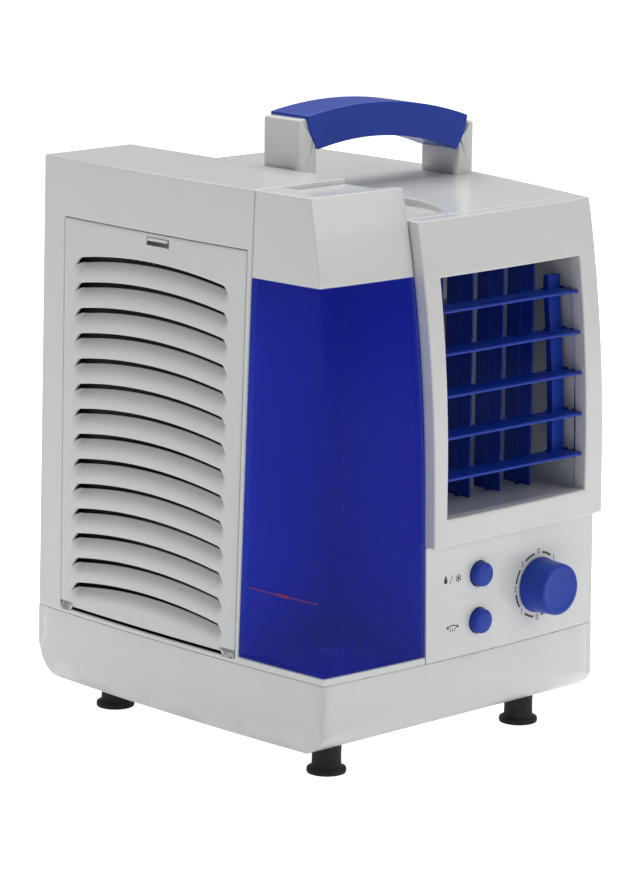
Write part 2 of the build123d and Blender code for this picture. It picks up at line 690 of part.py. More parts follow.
with BuildPart() as duct:
    add(block((duct_x[0] - duct_wall, duct_x[1] + duct_wall), (front_y - 20, front_y + duct_back),
              (duct_z[0] - duct_wall, duct_z[1] + duct_wall)))
    add(behind(skin_layer + touch), mode=Mode.INTERSECT)
    add(block(duct_x, (front_y - 30, front_y + duct_back - duct_wall), duct_z), mode=Mode.SUBTRACT)
    add(block((scroll_low + scroll_wall, scroll_high - scroll_wall), (front_y + 50, front_y + duct_back + 5),
              (mouth_z[0] + scroll_wall, mouth_z[1] - scroll_wall)), mode=Mode.SUBTRACT)
    for y, z in blade_places:
        add(rod((duct_x[0] - 5, y, z), pin_diameter / 2 + run, duct_x[1] - duct_x[0] + 10, Axis.X),
            mode=Mode.SUBTRACT)
    for x in vane_xs:
        add(rod((x, vane_y, duct_z[0] - 5), pin_diameter / 2 + run, duct_z[1] - duct_z[0] + 10),
            mode=Mode.SUBTRACT)
    add(rod((crank_x, crank_y, duct_z[0] - 5), swing_shaft / 2 + 0.6, 6), mode=Mode.SUBTRACT)
finish(duct, "outlet_duct")

blade_link_x = (98.5, 110.5)
blade_ends = (outlet_left + 0.6, outlet_right - 0.6)
for number, (y, z) in enumerate(blade_places, start=1):
    with BuildPart() as blade:
        with BuildSketch(Plane.YZ.offset(blade_ends[0])):
            with Locations((y, z)):
                SlotOverall(blade_chord, blade_thickness)
        extrude(amount=blade_ends[1] - blade_ends[0])
        add(rod((duct_x[0] - duct_wall + 0.3, y, z), pin_diameter / 2,
                duct_x[1] - duct_x[0] + 2 * duct_wall - 0.6, Axis.X))
        notch = (blade_link_x[0] - 0.6, blade_link_x[1] + 0.6)
        add(block(notch, (y + 3.2, y + blade_chord), (z - 3, z + 3)), mode=Mode.SUBTRACT)
        for x in (notch[0] - 2.2, notch[1]):
            with BuildPart(mode=Mode.PRIVATE) as lug:
                add(rod((x, y + link_arm, z), 2.4, 2.2, Axis.X))
                add(block((x, x + 2.2), (y + 3, y + link_arm), (z - 1.1, z + 2.4)))
            add(lug.part)
        add(rod((notch[0] - 1, y + link_arm, z), link_pin_diameter / 2, notch[1] - notch[0] + 2, Axis.X))
    finish(blade, f"blade_{number}")

with BuildPart() as blade_link:
    with BuildSketch(Plane.YZ.offset(blade_link_x[0])):
        half = 2.6
        front_line = [(y + link_arm - half, z) for y, z in blade_places]
        back_line = [(y + link_arm + half, z) for y, z in reversed(blade_places)]
        top_z, low_z = blade_heights[0] + 11, blade_heights[-1] - 5
        with BuildLine():
            Polyline((front_line[0][0], top_z), *front_line, (front_line[-1][0], low_z),
                     (back_line[0][0], low_z), *back_line, (back_line[-1][0], top_z), close=True)
        make_face()
    extrude(amount=blade_link_x[1] - blade_link_x[0])
    for y, z in blade_places:
        add(rod((blade_link_x[0] - 1, y + link_arm, z), link_pin_diameter / 2 + run, 20, Axis.X),
            mode=Mode.SUBTRACT)
finish(blade_link, "blade_link")

vane_z = (duct_z[0] + 0.8, duct_z[1] - 0.8)
vane_link_z = (duct_z[0] + 12.0, duct_z[0] + 14.4)
for number, x in enumerate(vane_xs, start=1):
    with BuildPart() as vane:
        add(block((x - vane_thickness / 2, x + vane_thickness / 2),
                  (vane_y - vane_chord / 2, vane_y + vane_chord / 2), vane_z))
        fillet(vane.edges().filter_by(Axis.Z), 0.7)
        add(block((x - 4, x + 4), (vane_y + 4, vane_y + vane_chord),
                  (vane_link_z[0] - 0.6, vane_link_z[1] + 0.6)), mode=Mode.SUBTRACT)
        add(rod((x, vane_y + link_arm, vane_link_z[0] - 2), link_pin_diameter / 2, 6.4))
        add(rod((x, vane_y, duct_z[0] - duct_wall + 0.3), pin_diameter / 2,
                duct_z[1] - duct_z[0] + 2 * duct_wall - 0.6))
        add(block((x - 6, x + 6), (vane_y - 2.4, vane_y + vane_chord),
                  (vane_link_z[0] - 0.6, vane_link_z[1] + 0.6)).cut(
            block((x - 7, x + 7), (vane_y - 3, vane_y + 3.2), (vane_link_z[0] - 1, vane_link_z[1] + 1))).cut(
            rod((x, vane_y + link_arm, vane_link_z[0] - 2), link_pin_diameter / 2, 7)), mode=Mode.SUBTRACT)
    finish(vane, f"vane_{number}")

yoke = 3.0
with BuildPart() as vane_link:
    link_y = vane_y + link_arm
    add(block((vane_xs[0] - 3.5, vane_xs[-1] + 3.5), (link_y - 3, link_y + 3), vane_link_z))
    add(block((crank_x - 4, crank_x + 4), (link_y, crank_y + crank_arm + 5), vane_link_z))
    for x in vane_xs:
        add(rod((x, link_y, vane_link_z[0] - 1), link_pin_diameter / 2 + run, 5), mode=Mode.SUBTRACT)
    add(block((crank_x - yoke / 2 - 0.2, crank_x + yoke / 2 + 0.2),
              (crank_y - crank_arm - 3, crank_y + crank_arm + 3),
              (vane_link_z[0] - 1, vane_link_z[1] + 1)), mode=Mode.SUBTRACT)
finish(vane_link, "vane_link")

motor_top = duct_z[0] - duct_wall - touch
swing_motor_height = 15.0
with BuildPart() as swing_motor:
    add(rod((crank_x, crank_y, motor_top - swing_motor_height), 22.0, swing_motor_height))
    add(rod((crank_x, crank_y, motor_top - 8), swing_shaft / 2 + run, 10), mode=Mode.SUBTRACT)
finish(swing_motor, "swing_motor")

with BuildPart() as swing_crank:
    add(rod((crank_x, crank_y, motor_top - 7), swing_shaft / 2, duct_z[0] + 1 - motor_top + 7))
    add(rod((crank_x, crank_y, duct_z[0] + 0.6), 8.0, 3.0))
    add(rod((crank_x + crank_arm, crank_y, duct_z[0] + 2), yoke / 2, vane_link_z[0] - 0.5 - duct_z[0] - 2))
finish(swing_crank, "swing_crank")

# ---------------------------------------------------------------- controls
panel_top = bezel_z - 0.3
knob_z = bottom_z + knob_centre_height
with BuildPart() as control_panel:
    add(body_form.part)
    add(block((-width / 4, width), (front_y - 60, front_y + 40), (seam_z + 0.3, panel_top)),
        mode=Mode.INTERSECT)
    add(behind(skin_layer), mode=Mode.SUBTRACT)
    add(bay(0.6, seam_z - 5, plateau_z), mode=Mode.SUBTRACT)
    for height in button_heights:
        add(rod((button_x, front_y - 30, bottom_z + height), button_diameter / 2 + panel_gap, 60, Axis.Y),
            mode=Mode.SUBTRACT)
    add(rod((knob_x, front_y - 30, knob_z), stem_diameter / 2 + 1, 60, Axis.Y), mode=Mode.SUBTRACT)
finish(control_panel, "control_panel")

board_y = front_y + 26.0
switch_front = front_y + 10.0
for number, height in enumerate(button_heights, start=1):
    z = bottom_z + height
    face = front_face(button_x, z)
    with BuildPart() as button:
        add(rod((button_x, face - button_proud, z), button_diameter / 2,
                switch_front - button_travel - 0.4 - face + button_proud, Axis.Y))
        fillet(button.edges().filter_by(GeomType.CIRCLE).group_by(Axis.Y)[0], 1.2)
        add(rod((button_x, face, z), 2.0, switch_front + 5 - face, Axis.Y))
    finish(button, f"button_{number}")
    with BuildPart() as switch:
        add(block((button_x - 9, button_x + 9), (switch_front, board_y - touch), (z - 7, z + 7)))
        add(rod((button_x, switch_front - 1, z), 2.0 + run, 10, Axis.Y), mode=Mode.SUBTRACT)
    finish(switch, f"button_switch_{number}")

knob_back = front_face(knob_x - knob_base / 2, knob_z) - panel_gap
knob_front = front_face(knob_x, knob_z) - knob_depth
with BuildPart() as knob:
    with BuildSketch(Plane.XY.offset(knob_z)):
        with BuildLine():
            Polyline((knob_x, knob_back), (knob_x + knob_base / 2, knob_back),
                     (knob_x + knob_face / 2 + 0.8, knob_front + 2.4),
                     (knob_x + knob_face / 2, knob_front + 0.6),
                     (knob_x + knob_face / 2 - 1.6, knob_front), (knob_x, knob_front), close=True)
        make_face()
    revolve(axis=Axis((knob_x, 0, knob_z), (0, 1, 0)))
    add(rod((knob_x, knob_back - 1, knob_z), stem_diameter / 2, board_y - 3 - knob_back, Axis.Y))
finish(knob, "knob")

with BuildPart() as rotary_switch:
    add(block((knob_x - 15, knob_x + 15), (switch_front, board_y - touch), (knob_z - 15, knob_z + 15)))
    fillet(rotary_switch.edges().filter_by(Axis.Y), 6)
    add(rod((knob_x, switch_front - 1, knob_z), stem_diameter / 2 + run, 20, Axis.Y), mode=Mode.SUBTRACT)
finish(rotary_switch, "rotary_switch")

with BuildPart() as control_board:
    add(block((button_x - 16, knob_x + 22), (board_y, board_y + 1.6), (knob_z - 28, knob_z + 32)))
finish(control_board, "control_board")

# ---------------------------------------------------------------- handle
handle_y = (front_y + handle_front, front_y + handle_front + handle_deep)
deck_top = deck_back_z + 0.1
left_inner = handle_left + post_width
right_inner = handle_right - post_width
grip_y = (handle_y[0] - 1.2, handle_y[1] + 1.2)
end_slope = 11.0         # how far the grip's ends slant in from top to bottom
grip_x = (handle_left + 8.0, handle_right - 8.0)
middle_x = (grip_x[0] + grip_x[1]) / 2
tops = [bottom_z + top for top in (grip_left_top, grip_middle_top, grip_right_top)]


def grip_form(shrink):
    """The grip's arched band in front view, its ends curving in, carried back."""
    left, right = grip_x[0] + shrink, grip_x[1] - shrink
    low = [top - grip_thickness for top in tops]
    with BuildPart() as form:
        with BuildSketch(Plane.XZ.offset(-grip_y[1])):
            with BuildLine():
                ThreePointArc((left, tops[0]), (middle_x, tops[1]), (right, tops[2]))
                ThreePointArc((right, tops[2]), (right - end_slope * 0.3, tops[2] - grip_thickness / 2),
                              (right - end_slope, low[2]))
                ThreePointArc((right - end_slope, low[2]), (middle_x, low[1]), (left + end_slope, low[0]))
                ThreePointArc((left + end_slope, low[0]),
                              (left + end_slope * 0.3, tops[0] - grip_thickness / 2), (left, tops[0]))
            make_face()
        extrude(amount=grip_y[1] - grip_y[0])
    return form.part


with BuildPart() as handle_grip:
    add(grip_form(0))
finish(handle_grip, "handle_grip")

with BuildPart() as handle_posts:
    for x, top in (((handle_left, left_inner), left_post_top), ((right_inner, handle_right), right_post_top)):
        with BuildPart(mode=Mode.PRIVATE) as post:
            add(block(x, handle_y, (deck_top, bottom_z + top)))
            fillet(post.edges().filter_by(Axis.Z), 3.0)
            fillet(post.edges().group_by(Axis.Z)[-1], 2.5)
        add(post.part)
    add(grip_form(-touch), mode=Mode.SUBTRACT)
finish(handle_posts, "handle_posts")

# ---------------------------------------------------------------- feet and fittings
with BuildPart() as feet:
    for x, y in foot_places:
        add(rod((x, y, 0), foot_flange / 2, 4.0))
        add(rod((x, y, 4.0), foot_neck / 2, foot_height - 4.1))
        add(rod((x, y, -1), 4.0, 9.0), mode=Mode.SUBTRACT)
        add(rod((x, y, 5), 2.1, 20.0), mode=Mode.SUBTRACT)
finish(feet, "feet")

with BuildPart() as foot_screws:
    for x, y in foot_places:
        add(rod((x, y, 5.0), 3.8, 2.8))
        add(rod((x, y, 7.0), 2.0, 22.0))
finish(foot_screws, "foot_screws")

with BuildPart() as cord_inlet:
    y = rear_at(inlet_z) + rear_bow * (1 - (inlet_x / half_width_at(inlet_z)) ** 2)
    add(rod((inlet_x, y - wall - 3, inlet_z), inlet_hole / 2 - 0.1, wall + 6, Axis.Y))
    add(rod((inlet_x, y + 0.4, inlet_z), inlet_hole / 2 + 3, 2.2, Axis.Y))
    add(rod((inlet_x, y, inlet_z), inlet_hole / 2 - 1, rear_y + inlet_reach - y, Axis.Y))
    add(rod((inlet_x, y - 20, inlet_z), 3.6, 40, Axis.Y), mode=Mode.SUBTRACT)
finish(cord_inlet, "cord_inlet")
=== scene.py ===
"""Looks of the portable evaporative cooler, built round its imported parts.

Metres, +Z up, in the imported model's own frame: the air outlet faces -Y, the filter panel -X.
"""
import json
import math

import bmesh
import bpy
from mathutils import Matrix, Vector


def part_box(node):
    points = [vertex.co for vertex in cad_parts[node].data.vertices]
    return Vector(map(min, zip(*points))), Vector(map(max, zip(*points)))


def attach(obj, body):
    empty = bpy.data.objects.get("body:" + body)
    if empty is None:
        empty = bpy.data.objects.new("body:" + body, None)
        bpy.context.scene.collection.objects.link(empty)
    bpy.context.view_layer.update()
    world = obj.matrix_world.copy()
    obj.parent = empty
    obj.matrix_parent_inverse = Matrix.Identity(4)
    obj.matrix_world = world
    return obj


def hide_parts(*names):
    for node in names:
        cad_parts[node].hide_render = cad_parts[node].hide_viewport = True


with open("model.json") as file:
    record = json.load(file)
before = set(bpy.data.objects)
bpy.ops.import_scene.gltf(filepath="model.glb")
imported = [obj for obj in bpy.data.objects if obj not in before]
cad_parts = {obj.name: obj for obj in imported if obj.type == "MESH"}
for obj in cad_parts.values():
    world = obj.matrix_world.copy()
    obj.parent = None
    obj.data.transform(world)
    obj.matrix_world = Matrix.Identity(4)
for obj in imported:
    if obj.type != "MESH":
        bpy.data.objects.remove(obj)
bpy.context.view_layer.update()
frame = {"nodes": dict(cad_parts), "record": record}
nodes = frame["nodes"]
record = frame["record"]
body_of = {node: body for body, names in record["behaviour"]["bodies"].items() for node in names}
slot_of = {row["node"]: row["material_slot"] for row in record["subparts"]}

MM = 0.001

# ---------------------------------------------------------------- the body's outer form
front_bow = 5.2 * MM
side_bow = 4.5 * MM
rear_bow = 2.0 * MM
half_width = 135.0 * MM
depth = 304.0 * MM
side_draft = 0.0105
rear_draft = 0.0135
lean_radius = 980.0 * MM
bottom_z, seam_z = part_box("base_tray")[0].z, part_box("base_tray")[1].z
front_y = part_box("base_tray")[0].y + front_bow
rear_y = front_y + depth
lean_z = bottom_z + 178.0 * MM


def front_at(z):
    above = max(0.0, z - lean_z)
    return front_y + lean_radius - math.sqrt(lean_radius**2 - above**2)


def rear_at(z):
    return rear_y - rear_draft * max(0.0, z - seam_z)


def half_at(z):
    return half_width - side_draft * (z - bottom_z)


def front_face(x, z):
    """Y of the bowed front face."""
    return front_at(z) - front_bow * (1 - (x / half_at(z)) ** 2)


def side_face(y, z):
    """Distance of either bowed side face from the middle plane."""
    middle = (front_at(z) + rear_at(z)) / 2
    share = (y - middle) / (rear_at(z) - middle)
    return half_at(z) + side_bow * (1 - share**2)


def left_face(y, z):
    return -side_face(y, z)


def rear_face(x, z):
    return rear_at(z) + rear_bow * (1 - (x / half_at(z)) ** 2)


# ---------------------------------------------------------------- finishes
class Wire:
    """A node's output, so that shader maths reads as Python."""

    def __init__(self, finish, socket):
        self.finish = finish
        self.socket = socket

    def maths(self, operation, first, second):
        return self.finish.add("ShaderNodeMath", {"operation": operation}, {0: first, 1: second})

    def __add__(self, other):
        return self.maths("ADD", self, other)

    def __radd__(self, other):
        return self.maths("ADD", other, self)

    def __sub__(self, other):
        return self.maths("SUBTRACT", self, other)

    def __rsub__(self, other):
        return self.maths("SUBTRACT", other, self)

    def __mul__(self, other):
        return self.maths("MULTIPLY", self, other)

    def __rmul__(self, other):
        return self.maths("MULTIPLY", other, self)

    def between(self, low, high):
        """0 at low, 1 at high, eased in between."""
        settings = {"interpolation_type": "SMOOTHSTEP"}
        return self.finish.add("ShaderNodeMapRange", settings, {0: self, 1: low, 2: high, 3: 0.0, 4: 1.0})


class Finish:
    """A procedural material on one Principled shader."""

    def __init__(self, name, sockets):
        self.material = bpy.data.materials.new(name)
        self.material.use_nodes = True
        self.tree = self.material.node_tree
        self.shader = self.tree.nodes["Principled BSDF"]
        for socket, value in sockets.items():
            self.set(socket, value)
        self.place = self.add("ShaderNodeTexCoord", output="Object")

    def add(self, kind, settings=None, inputs=None, output=0):
        node = self.tree.nodes.new(kind)
        for name, value in (settings or {}).items():
            setattr(node, name, value)
        for name, value in (inputs or {}).items():
            if isinstance(value, Wire):
                self.tree.links.new(value.socket, node.inputs[name])
            else:
                node.inputs[name].default_value = value
        return Wire(self, node.outputs[output])

    def set(self, socket, value):
        target = self.shader.inputs[socket]
        if isinstance(value, Wire):
            self.tree.links.new(value.socket, target)
        else:
            target.default_value = value

    def noise(self, scale, detail=2.0, stretch=(1, 1, 1), roughness=0.5):
        """A noise value over the piece, in repeats per metre."""
        place = self.add("ShaderNodeMapping", {}, {"Vector": self.place, "Scale": stretch})
        return self.add("ShaderNodeTexNoise", {}, {"Vector": place, "Scale": scale, "Detail": detail,
                                                   "Roughness": roughness})

    def mix(self, share, first, second):
        """A colour between two colours."""
        return self.add("ShaderNodeMix", {"data_type": "RGBA"}, {0: share, 6: first, 7: second}, output=2)

    def bump(self, height, strength, reach):
        self.set("Normal", self.add("ShaderNodeBump", {}, {"Height": height, "Strength": strength,
                                                           "Distance": reach}))


def colour(red, green, blue):
    return (red, green, blue, 1.0)


def moulded(name, dark, light, rough=0.3, coat=0.0, grain=900.0, relief=0.06, shine=0.5):
    """Injection-moulded plastic: slow colour drift, flow streaks, fine skin texture, handling smears."""
    finish = Finish(name, {"Specular IOR Level": shine, "Coat Roughness": 0.06})
    drift = finish.noise(9.0, 3.0)
    streaks = finish.noise(14.0, 4.0, (1.0, 1.0, 0.22))
    smears = finish.noise(26.0, 5.0, roughness=0.65)
    skin_texture = finish.noise(grain, 2.0)
    finish.set("Base Color", finish.mix((drift * 0.6 + streaks * 0.4).between(0.3, 0.7), dark, light))
    finish.set("Roughness", rough - 0.01 + 0.012 * smears + 0.008 * skin_texture)
    if coat:
        finish.set("Coat Weight", coat - 0.01 * smears)
    ripple = finish.noise(30.0, 1.0)
    finish.bump(skin_texture * 0.3 + ripple * 0.7, relief, 0.0002)
    return finish


def tank_plastic():
    """Deep blue see-through plastic: light passes its thin walls unbent, less so at a slant."""
    finish = Finish("blue_tank_plastic", {"IOR": 1.49, "Specular IOR Level": 0.6, "Coat Roughness": 0.05})
    drift = finish.noise(7.0, 2.0)
    smears = finish.noise(20.0, 4.0)
    finish.set("Base Color", finish.mix(drift, colour(0.030, 0.050, 0.62), colour(0.045, 0.070, 0.74)))
    finish.set("Roughness", 0.14 + 0.03 * smears)
    finish.bump(finish.noise(12.0, 1.0), 0.04, 0.0002)
    clear = finish.add("ShaderNodeBsdfTransparent", {}, {"Color": colour(0.56, 0.66, 0.99)})
    slant = finish.add("ShaderNodeLayerWeight", {}, {"Blend": 0.25}, output=0)
    solid = 0.11 + 0.55 * slant
    body = Wire(finish, finish.shader.outputs[0])
    mixed = finish.add("ShaderNodeMixShader", {}, {0: solid, 1: clear, 2: body})
    finish.tree.links.new(mixed.socket, finish.tree.nodes["Material Output"].inputs["Surface"])
    return finish


def rubber():
    finish = Finish("black_foot_rubber", {"Specular IOR Level": 0.35})
    dust = finish.noise(160.0, 6.0, roughness=0.7)
    finish.set("Base Color", finish.mix(dust.between(0.45, 0.75), colour(0.008, 0.008, 0.009),
                                        colour(0.026, 0.026, 0.028)))
    finish.set("Roughness", 0.48 + 0.22 * dust)
    finish.bump(finish.noise(1400.0, 3.0), 0.25, 0.0003)
    return finish


def metal(name, dark, light, stretch):
    finish = Finish(name, {"Metallic": 1.0})
    brushing = finish.noise(900.0, 4.0, stretch)
    finish.set("Base Color", finish.mix(brushing, dark, light))
    finish.set("Roughness", 0.28 + 0.25 * brushing)
    finish.bump(brushing, 0.15, 0.0002)
    return finish


def wet_pad():
    """Corrugated cellulose: slanted flutes and fibres; the colour darkens in the flutes' low troughs, which is painted
    shade.
    """
    finish = Finish("pad_cellulose", {"Specular IOR Level": 0.2})
    place = finish.add("ShaderNodeMapping", {}, {"Vector": finish.place, "Rotation": (0.8, 0.0, 0.0)})
    flute_relief_and_shade = finish.add("ShaderNodeTexWave", {"bands_direction": "Z"},
                        {"Vector": place, "Scale": 60.0, "Distortion": 2.0, "Detail": 2.0}, output=1)
    fibres = finish.noise(1200.0, 4.0, (1, 4, 1))
    # painted shade: the colour follows the flute wave that sets the bump, darkest in the troughs
    finish.set("Base Color", finish.mix(flute_relief_and_shade * 0.7 + fibres * 0.3, colour(0.10, 0.055, 0.022),
                                        colour(0.50, 0.34, 0.18)))
    finish.set("Roughness", 0.8 + 0.15 * fibres)
    finish.bump(flute_relief_and_shade + 0.3 * fibres, 0.9, 0.002)
    return finish


def ink(name, dark, light):
    """Pad-printed ink, slightly uneven."""
    finish = Finish(name, {"Specular IOR Level": 0.4})
    spread = finish.noise(2500.0, 3.0)
    finish.set("Base Color", finish.mix(spread.between(0.35, 0.7), dark, light))
    finish.set("Roughness", 0.40 + 0.2 * spread)
    finish.bump(spread, 0.1, 0.00005)
    return finish


finishes = {
    "white_shell": moulded("white_shell_plastic", colour(0.67, 0.675, 0.655), colour(0.69, 0.695, 0.675),
                           rough=0.26, coat=0.4),
    "white_grille": moulded("white_panel_plastic", colour(0.655, 0.66, 0.65), colour(0.675, 0.68, 0.67),
                            rough=0.32, coat=0.3),
    "blue_trim": moulded("blue_trim_plastic", colour(0.005, 0.034, 0.320), colour(0.008, 0.044, 0.380),
                         rough=0.36, coat=0.04, shine=0.28),
    "blue_tank": tank_plastic(),
    "black_rubber": rubber(),
    "black_plastic": moulded("black_plastic", colour(0.010, 0.010, 0.011), colour(0.022, 0.022, 0.024),
                             rough=0.5),
    "natural_plastic": moulded("natural_plastic", colour(0.52, 0.51, 0.47), colour(0.62, 0.61, 0.57),
                               rough=0.45),
    "pad_paper": wet_pad(),
    "steel": metal("brushed_steel", colour(0.42, 0.42, 0.44), colour(0.66, 0.66, 0.68), (1, 1, 12)),
    "board_green": moulded("board_green", colour(0.010, 0.070, 0.025), colour(0.020, 0.110, 0.045),
                           rough=0.35),
    "hose_clear": moulded("hose_vinyl", colour(0.50, 0.54, 0.55), colour(0.62, 0.66, 0.67), rough=0.25),
}
printed_black = ink("printed_black", colour(0.010, 0.010, 0.012), colour(0.03, 0.03, 0.034))
# the net's own black; the same finish colours the solid sheet behind it, which is painted shade
black_net_and_shade = ink("black_net_and_shade", colour(0.004, 0.004, 0.005), colour(0.010, 0.010, 0.012))
printed_red = ink("printed_red", colour(0.20, 0.004, 0.012), colour(0.30, 0.008, 0.02))


# ---------------------------------------------------------------- making pieces
def piece(name, mesh_tool, slot, body, replaced=(), finish=None, sharp=None):
    """Turns a bmesh into a finished piece that rides on a body."""
    mesh = bpy.data.meshes.new(name)
    mesh_tool.to_mesh(mesh)
    mesh_tool.free()
    mesh.materials.append((finish or finishes[slot]).material)
    mesh.shade_smooth()
    if sharp is not None:
        mesh.set_sharp_from_angle(angle=math.radians(sharp))
    obj = bpy.data.objects.new(name, mesh)
    bpy.context.scene.collection.objects.link(obj)
    if replaced:
        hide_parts(*replaced)
    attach(obj, body)
    return obj


def weigh_normals(obj):
    """Lets the large faces keep their own shading beside a rounded edge."""
    modifier = obj.modifiers.new("even_shading", "WEIGHTED_NORMAL")
    modifier.mode = "FACE_AREA"
    modifier.weight = 90
    modifier.keep_sharp = True


def node_bmesh(node):
    """The node's solid as one clean mesh."""
    bm = bmesh.new()
    bm.from_mesh(nodes[node].data)
    bmesh.ops.remove_doubles(bm, verts=bm.verts, dist=0.01 * MM)
    bmesh.ops.dissolve_degenerate(bm, edges=bm.edges, dist=0.005 * MM)
    return bm


def round_edges(bm, radius, segments=3, sharp=28.0):
    bmesh.ops.dissolve_limit(bm, angle_limit=math.radians(0.25), verts=bm.verts, edges=bm.edges)
    edges = [e for e in bm.edges if len(e.link_faces) == 2 and e.calc_face_angle() > math.radians(sharp)]
    bmesh.ops.bevel(bm, geom=edges, offset=radius, offset_type="OFFSET", affect="EDGES",
                    segments=segments, profile=0.5, clamp_overlap=False, material=-1)


def slice_up(bm, spacing):
    """Adds even cuts through the mesh, so that it can follow the bowed faces."""
    lows = [min(v.co[i] for v in bm.verts) for i in range(3)]
    highs = [max(v.co[i] for v in bm.verts) for i in range(3)]
    for i in range(3):
        count = int((highs[i] - lows[i]) / spacing)
        for k in range(1, count):
            place, way = Vector((0, 0, 0)), Vector((0, 0, 0))
            place[i] = lows[i] + (highs[i] - lows[i]) * k / count
            way[i] = 1.0
            everything = bm.verts[:] + bm.edges[:] + bm.faces[:]
            bmesh.ops.bisect_plane(bm, geom=everything, plane_co=place, plane_no=way, dist=0.02 * MM)


def settle_on_form(bm, reach=0.14 * MM, proud=0.0):
    """Moves points that are a hair off the bowed outer faces onto them."""
    for v in bm.verts:
        x, y, z = v.co
        if z < bottom_z + 2 * MM:
            continue
        side = math.copysign(side_face(y, z), x)
        if abs(side - x) < reach:
            v.co.x = side
        front = front_face(x, z) - proud
        if abs(front - y) < reach:
            v.co.y = front
        rear = rear_face(x, z)
        if abs(rear - y) < reach:
            v.co.y = rear


def dressed(node, radius, segments=3, spacing=0.0, proud=0.0, finish=None):
    """A finished copy of a node, with rounded edges."""
    bm = node_bmesh(node)
    if radius:
        round_edges(bm, radius, segments)
    if spacing:
        slice_up(bm, spacing)
        settle_on_form(bm, proud=proud)
    obj = piece(node + "_finished", bm, slot_of[node], body_of[node], (node,), finish, sharp=50)
    weigh_normals(obj)
    return obj


def turned(bm, profile, centre, axis, steps=64):
    """Spins a profile of (radius, along) points round an axis through centre, closed at the axis."""
    axis = Vector(axis)
    side = Vector((0, 0, 1)) if abs(axis.z) < 0.5 else Vector((1, 0, 0))
    verts = [bm.verts.new(Vector(centre) + side * radius + axis * along) for radius, along in profile]
    edges = [bm.edges.new(pair) for pair in zip(verts, verts[1:])]
    bmesh.ops.spin(bm, geom=verts + edges, cent=Vector(centre), axis=axis, angle=math.tau,
                   steps=steps, use_merge=True, use_duplicate=False)
    bmesh.ops.remove_doubles(bm, verts=bm.verts, dist=0.01 * MM)
    bmesh.ops.recalc_face_normals(bm, faces=bm.faces)


# shells that follow the bowed form
shell_spacing = 16 * MM
dressed("housing", 1.0 * MM, spacing=shell_spacing)
dressed("base_tray", 0.0, spacing=shell_spacing)
dressed("tank_cap", 1.1 * MM, spacing=shell_spacing)
dressed("bezel", 1.3 * MM, 4, spacing=shell_spacing)
dressed("control_panel", 0.5 * MM, spacing=shell_spacing)
dressed("water_tank", 0.8 * MM, spacing=shell_spacing)
dressed("panel_latch", 0.35 * MM)
dressed("handle_grip", 1.3 * MM, 4)
dressed("outlet_duct", 0.5 * MM, 2)
for number in range(1, 6):
    dressed(f"blade_{number}", 0.3 * MM, 2)
for number in range(1, 5):
    dressed(f"vane_{number}", 0.25 * MM, 2)
dressed("blade_link", 0.3 * MM, 2)
dressed("vane_link", 0.3 * MM, 2)
dressed("cord_inlet", 0.5 * MM, 2)

posts = node_bmesh("handle_posts")
weigh_normals(piece("handle_posts_finished", posts, "white_shell", body_of["handle_posts"],
                    ("handle_posts",), sharp=50))


# ---------------------------------------------------------------- louvred filter panel
louvre_count = 14
louvre_pitch = 18.4 * MM
louvre_first = bottom_z + 321.0 * MM    # top of the first lip's arch
louvre_half = 77.5 * MM                 # middle of a louvre to the corner of its arch
louvre_middle = front_y + 180.0 * MM
louvre_shift = 2.0 * MM                 # the last louvre is this much further back
arch_drop = 6.6 * MM
tip_reach = 6.5 * MM
tip_drop = 7.6 * MM
panel_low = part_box("filter_panel")[0].z
panel_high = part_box("filter_panel")[1].z
latch_rows = (panel_high - 2.5 * MM, panel_high - 8.5 * MM)
latch_columns = (front_y + 159.0 * MM, front_y + 183.0 * MM)
lip_profile = ((-1.3, 0.0), (-0.5, 0.0), (-0.14, 0.14), (0.0, 0.5), (0.08, 1.9))
scoop_profile = ((4.3, 5.4), (5.0, 4.8), (6.0, 3.85), (7.2, 2.75), (8.6, 1.65), (10.2, 0.75), (11.9, 0.22),
                 (14.0, 0.0))
edge_round = 0.45 * MM
plate = 1.3 * MM                        # thickness of the panel


def eased(share):
    share = min(1.0, max(0.0, share))
    return share * share * (3 - 2 * share)


def beyond_arch(y, number):
    middle = louvre_middle + louvre_shift * number / (louvre_count - 1)
    return abs(y - middle) - louvre_half, (y - middle) / louvre_half


def lip_height(y, number):
    """Height of a louvre's lip, which arches over its middle and falls steeply at its ends."""
    past, share = beyond_arch(y, number)
    fall = arch_drop * min(share**2, 1.17)
    if past > 0:
        fall += tip_drop * min(1.0, past / tip_reach) ** 1.4
    return louvre_first - number * louvre_pitch - fall


def louvre_strength(y, number):
    past, share = beyond_arch(y, number)
    return 1.0 - eased((past + 1.5 * MM) / (tip_reach + 1.5 * MM))


def panel_y(share, z):
    """Y at a share of the way from the panel's front edge to its rear edge."""
    up = (z - panel_low) / (panel_high - panel_low)
    front = front_y + (86.7 - 6.2 * up) * MM
    rear = front_y + (277.2 - 2.2 * up) * MM
    return front + (rear - front) * share


